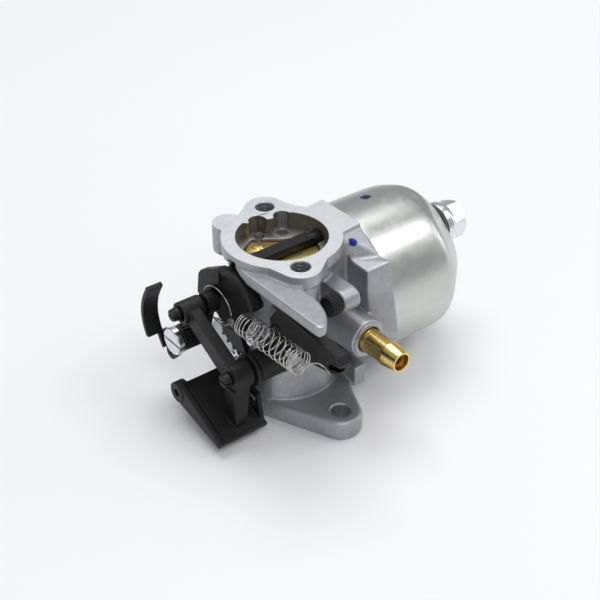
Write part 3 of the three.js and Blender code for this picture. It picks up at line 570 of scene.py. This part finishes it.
def casting_tools():
    """What is milled, bored and tapped into the casting."""
    tools = [
        chamber_tool(),
        bore_tool(),
        block((-60, -60, BODY_TOP), (90, 60, BODY_TOP + 5)),
        block((-60, -60, FLANGE_BOTTOM - 5), (90, 60, FLANGE_BOTTOM)),
        rod("y", NIPPLE, -46, -24.6, 4.3),
        rod("x", THROTTLE, -22, 15.4, 3.3),
        rod("x", CHOKE, -22, 15.4, 2.9),
        *[rod("z", centre, 48.4, 53, 1.8) for centre in BLEED_HOLES],
        rod("x", VANE_PIVOT, -30, -2, 1.9),
        rod("x", MIXTURE_SCREW, -10, 9.2, 1.9),
    ]
    countersink = [(0, 56.5), (2.9, 56.5), (3.35, 57.05), (3.35, 58), (0, 58)]
    for side in (-1, 1):
        centre = (side * CLEANER_HOLE[0], side * CLEANER_HOLE[1])
        tools.append(rod("z", (0, side * STUD_DISTANCE), -3, 12, 3.3))
        tools.append(threaded(centre, BODY_TOP - 14, BODY_TOP + 1, 2.6, 3.15, 1.27))
        tools.append(lathe("countersink", "z", centre, countersink, 0))
    return tools


def paint_casting(thing, top, bottom):
    """Machined metal on the two joint faces, darker metal as painted shade inside the bore and chamber, cast
    metal everywhere else.
    """
    cast, machined, bored = range(3)
    touching = 0.02 * MM
    upright = 0.99
    chamber_floor = at(0, 0, 51).z
    chamber_reach, bore_reach = 15.2 * MM, 12.6 * MM
    for face in thing.data.polygons:
        place = face.center
        on_top = abs(place.z - top) < touching and face.normal.z > upright
        on_bottom = abs(place.z - bottom) < touching and face.normal.z < -upright
        from_axis = math.hypot(place.x - BORE.x, place.y - BORE.y)
        inside = from_axis < (chamber_reach if place.z > chamber_floor else bore_reach)
        # Faces inside the bore and chamber get the darker material, which is painted shade.
        face.material_index = machined if on_top or on_bottom else bored if inside else cast


def casting():
    thing = cad_copy("body_casting")
    top = at(0, 0, BODY_TOP).z
    bottom = at(0, 0, FLANGE_BOTTOM).z
    joint_faces_raised(thing, top, bottom, 0.8 * MM)
    lip = lathe("lip", "y", NIPPLE, [(4.6, -27), (5.9, -27), (5.9, -29.7), (4.6, -29.7)], 0.2)
    soften(thing, 0.36, 9)
    boolean(thing, lip, "UNION")
    for tool in casting_tools():
        boolean(thing, tool)
    finish_piece(thing, "body_casting", CAST, MACHINED, SHADED_BORE)
    paint_casting(thing, top, bottom)


# ---------------------------------------------------------------- float bowl
# Each step: how far out it is, and the circles (y, z, radius) that its outline wraps.
BOWL_STEPS = [
    *[(x, [(*BOWL, BOWL_RADIUS)]) for x in (24.8, 25.3, 38.0, 49.4)],
    (52.0, [(0, 29.1, 26.1)]),
    (54.4, [(0, 28.0, 24.9), (0, 38.0, 17.4)]),
    (57.2, [(0, 27.9, 22.4), (0, 39.6, 14.0)]),
    (62.0, [(0, 27.5, 18.0), (0, 37.8, 10.4)]),
    (65.0, [(0, 27.3, 15.2), (0, 36.4, 8.4)]),
    (66.0, [(0, 27.2, 13.6), (0, 36.0, 7.4)]),
]
RIM_STEPS = 3                           # over these, the inside is as deep as the outside


def wrapped(circles, sides):
    """Outline round one or more circles, sampled by outward direction."""
    points = []
    for i in range(sides):
        u, v = math.cos(2 * math.pi * i / sides), math.sin(2 * math.pi * i / sides)
        y, z, radius = max(circles, key=lambda circle: circle[0] * u + circle[1] * v + circle[2])
        points.append((y + radius * u, z + radius * v))
    return points


def float_bowl():
    """Drawn cup: the outside, the hole for the bolt and the inside, as one closed skin."""
    sides = 96
    hole = wrapped([(*JET, 3.4)], sides)
    end = BOWL_STEPS[-1][0]
    outer = [(x, wrapped(circles, sides)) for x, circles in BOWL_STEPS]
    inner = []
    for index, (x, circles) in enumerate(BOWL_STEPS):
        thinner = [(y, z, radius - BOWL_WALL) for y, z, radius in circles]
        inner.append((x if index < RIM_STEPS else x - BOWL_WALL, wrapped(thinner, sides)))
    seat = wrapped([(*JET, 6.4)], sides)
    rings = outer + [(end, seat), (end, hole), (end - BOWL_WALL, hole)] + inner[::-1]
    vertices = [at(x, y, z) for x, outline in rings for y, z in outline]
    faces = []
    for row in range(len(rings)):
        here = row * sides
        following = (row + 1) % len(rings) * sides
        for k in range(sides):
            n = (k + 1) % sides
            faces.append((here + k, here + n, following + n, following + k))
    thing = tidy(new_object("bowl", vertices, faces))
    surface = thing.modifiers.new("surface", "SUBSURF")
    surface.levels = 2
    surface.render_levels = 2
    apply_modifiers(thing)
    finish_piece(thing, "float_bowl", BOWL_STEEL)


def bowl_bolt():
    corner = HEXAGON_FLATS / math.sqrt(3)
    turns = [math.radians(HEXAGON_TURN + 60 * k) for k in range(6)]
    outline = [(JET[0] + corner * math.cos(turn), JET[1] + corner * math.sin(turn)) for turn in turns]
    head = bevel(prism("head", "x", outline, 71.0, 77.4), 0.25)
    chamfer = lathe("chamfer", "x", JET, [(0, 70), (9, 70), (9, 74.9), (corner - 1.4, 77.4), (0, 77.4)], 0)
    boolean(head, chamfer, "INTERSECT")
    dimple = lathe("dimple", "x", JET, [(0, 76.9), (3.4, 77.15), (4.4, 78), (0, 78)], 0)
    boolean(head, dimple)
    flange = lathe("flange", "x", JET, [(0, 67.4), (8, 67.4), (8, 69.8), (7.5, 71.3), (0, 71.3)], 0.3)
    shank = lathe("shank", "x", JET, [(0, 49), (2.6, 49), (3, 49.5), (3, 69.5), (0, 69.5)], 0.1)
    finish_piece(together([head, flange, shank]), "bowl_bolt", ZINC)


def bowl_small_parts():
    washer = lathe("washer", "x", JET, [(3.4, 66.3), (7.9, 66.3), (7.9, 67.1), (3.4, 67.1)], 0.2)
    finish_piece(washer, "bowl_bolt_washer", FIBRE)
    gasket = lathe("gasket", "x", BOWL, [(23.8, 24.8), (25.3, 24.8), (25.3, 25.9), (23.8, 25.9)], 0.2, 128)
    finish_piece(gasket, "bowl_gasket", RUBBER)


def fuel_nipple():
    """Hose nipple with a coned tip and a fine groove at the root."""
    tip = -45.0
    cone = [(3.45, tip), (4.05, tip + 3.6), (4.3, tip + 5.4), (4.3, tip + 6.2), (4.0, tip + 6.4)]
    groove = [(4.0, -30.6), (3.92, -30.4), (3.92, -30.2), (4.0, -30)]
    inside = [(4.0, -24.9), (2.1, -24.9), (2.1, tip + 5), (2.8, tip + 4.6), (2.8, tip)]
    finish_piece(lathe("nipple", "y", NIPPLE, cone + groove + inside, 0.12, 96), "fuel_nipple", BRASS)


# ---------------------------------------------------------------- governor linkage
def split_pin(name, centre, stem_from, stem_to, stem_radius, tip_from, tip_radius):
    """Snap-fit pin: a conical tip with a slot across it."""
    profile = [(0, tip_from), (tip_radius - 0.45, tip_from), (tip_radius, stem_from - 0.2),
               (tip_radius - 0.1, stem_from), (stem_radius, stem_from + 0.1), (stem_radius, stem_to),
               (0, stem_to)]
    pin = lathe(name, "x", centre, profile, 0.18)
    y, z = centre
    slot = block((tip_from - 1, y - 3, z - 0.3), (stem_from - 0.3, y + 3, z + 0.3))
    return boolean(pin, slot)


def slotted_screw(node, centre, face, under, end, radius, shank, slot_width, slot_depth, material):
    """Cheese-head screw along X, with its slot level."""
    profile = [(0, face), (radius - 0.25, face), (radius, face + 0.3), (radius, under), (shank, under + 0.05),
               (shank, end - 0.3), (shank - 0.3, end), (0, end)]
    screw = lathe(node, "x", centre, profile, 0.12)
    y, z = centre
    slot = block((face - 1, y - 2 * radius, z - slot_width / 2),
                 (face + slot_depth, y + 2 * radius, z + slot_width / 2))
    boolean(screw, slot)
    finish_piece(screw, node, material)


def governor_lever():
    thing = soften(cad_copy("governor_lever"), 0.17, 4)
    pin = split_pin("link", LINK_PIN, -33.9, -22, 1.45, -36.4, 2.35)
    finish_piece(boolean(thing, pin, "UNION"), "governor_lever", BLACK)


def vane_lever():
    thing = soften(cad_copy("air_vane_lever"), 0.22, 4)
    profile = [(2.4, -31.35), (4.4, -31.35), (4.6, -30.9), (4.6, -25), (2.4, -25)]
    ring = lathe("ring", "x", VANE_PIVOT, profile, 0.2)
    boolean(thing, ring, "UNION")
    finish_piece(thing, "air_vane_lever", BLACK)


def serrated_collar():
    outline = ribbed_outline(CLAMP_SCREW, 3.9, 4.5, 20)
    collar = bevel(prism("collar", "x", outline, -31, -25.4), 0.12)
    finish_piece(boolean(collar, rod("x", CLAMP_SCREW, -40, -20, 1.9)), "serrated_collar", BLACK)


def pivot_parts():
    sleeve = lathe("sleeve", "x", VANE_PIVOT, [(2, -22.4), (5.25, -22.4), (5.25, -12.9), (2, -12.9)], 0.3)
    finish_piece(sleeve, "vane_pivot_sleeve", BLACK)
    washer = lathe("washer", "x", VANE_PIVOT, [(2, -24.3), (5.6, -24.3), (5.6, -23), (2, -23)], 0.25)
    finish_piece(washer, "vane_pivot_washer", BLACK)
    finish_piece(split_pin("pin", VANE_PIVOT, -31.9, -4, 1.5, -34.2, 2.4), "vane_pivot_pin", BLACK)


def screws():
    slotted_screw("clamp_screw", CLAMP_SCREW, -35.2, -33, -21.6, 4.75, 1.6, 0.9, 1.0, ZINC)
    slotted_screw("speed_arm_screw", SPEED_ARM_PIVOT, -16.8, -15.5, -7, 2.8, 1.4, 0.7, 0.6, BLACK_STEEL)
    slotted_screw("idle_speed_screw", IDLE_SCREW, -19.6, -18.3, -9.6, 2.0, 1.2, 0.7, 0.6, ZINC)
    profile = [(0, 3.4), (1.6, 3.4), (1.6, 7), (0.4, 8.9), (0, 8.9)]
    finish_piece(lathe("needle", "x", MIXTURE_SCREW, profile), "mixture_screw", BRASS)
    cap = bevel(prism("cap", "x", ribbed_outline(MIXTURE_SCREW, 3.15, 3.5, 24), -1.1, 3.1), 0.1)
    finish_piece(cap, "mixture_screw_cap", BLACK)
    plug = lathe("plug", "x", WELCH_PLUG, [(0, 16.3), (2.6, 16.55), (3.7, 16.4), (3.9, 15.3), (0, 15.1)], 0.3)
    finish_piece(plug, "welch_plug", ZINC)


# ---------------------------------------------------------------- spring
SPRING_X = -21.8
COIL_RADIUS = 3.75
WIRE = 0.38
COIL_START = (-8.6, 37.4)
COIL_END = (-37.8, 39.3)
COIL_TURNS = 15
LOOP_CENTRE = (5.7, 36.4)
LOOP_HALF_SIZE = (7.7, 6.4)
SPRING_TAIL = [(-20.6, -41, 41.6), (-18.4, -44.8, 41), (-17.3, -46, 38)]


def spring_route():
    """A loop round the governor lever's boss, then the coil, then the hook over the speed arm."""
    points = []
    for degrees in range(160, -116, -5):
        turn = math.radians(180 - degrees)
        points.append((SPRING_X, LOOP_CENTRE[0] + LOOP_HALF_SIZE[0] * math.cos(turn),
                       LOOP_CENTRE[1] + LOOP_HALF_SIZE[1] * math.sin(turn)))
    steps = COIL_TURNS * 36
    length_y = COIL_END[0] - COIL_START[0]
    length_z = COIL_END[1] - COIL_START[1]
    for i in range(steps + 1):
        along = i / steps
        spread = along - 0.09 * math.sin(2 * math.pi * along)
        turn = -0.5 * math.pi + 2 * math.pi * COIL_TURNS * along
        points.append((SPRING_X + COIL_RADIUS * math.cos(turn), COIL_START[0] + length_y * spread,
                       COIL_START[1] + length_z * spread + COIL_RADIUS * math.sin(turn)))
    return points + SPRING_TAIL


def governor_spring():
    route = spring_route()
    curve = bpy.data.curves.new("spring", "CURVE")
    curve.dimensions = "3D"
    curve.bevel_depth = WIRE / 2 * MM
    curve.bevel_resolution = 2
    curve.resolution_u = 2
    curve.use_fill_caps = True
    spline = curve.splines.new("NURBS")
    spline.points.add(len(route) - 1)
    for point, place in zip(spline.points, route):
        point.co = (*at(*place), 1)
    spline.use_endpoint_u = True
    spline.order_u = 3
    wire = bpy.data.objects.new("spring", curve)
    bpy.context.scene.collection.objects.link(wire)
    graph = bpy.context.evaluated_depsgraph_get()
    mesh = bpy.data.meshes.new_from_object(wire.evaluated_get(graph))
    bpy.data.objects.remove(wire)
    thing = bpy.data.objects.new("governor_spring_fine", mesh)
    bpy.context.scene.collection.objects.link(thing)
    thing.data.materials.clear()
    thing.data.materials.append(STEEL)
    shade(thing, 60)
    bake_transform(thing)
    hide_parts("governor_spring")


# ---------------------------------------------------------------- remaining pieces
def softened_pieces():
    for node, voxel, rounds, material in (
            ("clamp_hook", 0.15, 3, BLACK), ("speed_arm", 0.17, 4, BLACK), ("choke_lever", 0.14, 3, BLACK),
            ("choke_shaft", 0.14, 3, BLACK), ("float", 0.3, 5, FLOAT)):
        finish_piece(soften(cad_copy(node), voxel, rounds), node, material)


def edged_pieces():
    for node, width, material in (
            ("needle_seat", 0.15, BRASS), ("inlet_needle", 0.1, STEEL), ("float_hinge_pin", 0.1, STEEL),
            ("emulsion_tube", 0.05, BRASS), ("main_jet", 0.15, BRASS), ("throttle_shaft", 0.12, STEEL),
            ("throttle_plate", 0.1, PLATE_BRASS), ("throttle_plate_screw", 0.15, STEEL),
            ("throttle_pinion", 0.06, ZINC), ("choke_plate", 0.1, PLATE_BRASS),
            ("choke_plate_screw", 0.15, STEEL)):
        finish_piece(edged(cad_copy(node), width), node, material)


casting()
float_bowl()
bowl_bolt()
bowl_small_parts()
fuel_nipple()
governor_lever()
vane_lever()
serrated_collar()
pivot_parts()
screws()
governor_spring()
softened_pieces()
edged_pieces()


# ---------------------------------------------------------------- floor, light and camera
def studio_floor():
    half = 3.0
    corners = [(-half, -half, 0), (half, -half, 0), (half, half, 0), (-half, half, 0)]
    floor = new_object("studio_floor", corners, [(0, 1, 2, 3)])
    floor.location.z = CAD_BOX[0].z - 0.05 * MM
    n = Nodes("pale_floor")
    color = n.ramp(n.noise(3, 2), [(0.3, (0.85, 0.85, 0.86)), (0.7, (0.87, 0.87, 0.88))])
    floor.data.materials.append(n.surface(color, 0.0, 0.6))


def softbox(name, place, target, size, power):
    light = bpy.data.lights.new(name, "AREA")
    light.shape = "RECTANGLE"
    light.size, light.size_y = size
    light.energy = power
    lamp = bpy.data.objects.new(name, light)
    bpy.context.scene.collection.objects.link(lamp)
    lamp.location = place
    lamp.rotation_euler = (Vector(target) - Vector(place)).to_track_quat("-Z", "Y").to_euler()


def lights():
    middle = (CAD_BOX[0] + CAD_BOX[1]) / 2
    softbox("key_light", (-0.5, -0.9, 1.3), middle, (0.8, 0.8), 6)
    softbox("top_light", (0.25, 0.45, 1.4), middle, (1.1, 0.8), 11)
    softbox("side_light", (1.3, -0.5, 0.5), middle, (0.5, 0.8), 2.0)
    softbox("bowl_light", (0.66, -0.47, 1.0), middle, (0.5, 0.4), 2.6)
    world = bpy.data.worlds.new("studio")
    bpy.context.scene.world = world
    world.use_nodes = True
    background = world.node_tree.nodes["Background"]
    background.inputs["Color"].default_value = (0.93, 0.95, 1.0, 1)
    background.inputs["Strength"].default_value = 0.42
    bpy.context.scene.view_settings.view_transform = "Standard"


def camera():
    azimuth, elevation, distance = math.radians(-38.02), math.radians(34.3), 0.4002
    target = at(8.7, 1.9, 27.7)
    away = Vector((math.sin(azimuth) * math.cos(elevation), -math.cos(azimuth) * math.cos(elevation),
                   math.sin(elevation)))
    data = bpy.data.cameras.new("camera")
    data.sensor_width = 36
    data.lens = 72
    data.clip_start = 0.01
    eye = bpy.data.objects.new("camera", data)
    bpy.context.scene.collection.objects.link(eye)
    eye.location = target + away * distance
    eye.rotation_euler = (-away).to_track_quat("-Z", "Y").to_euler()
    bpy.context.scene.camera = eye


studio_floor()
lights()
camera()
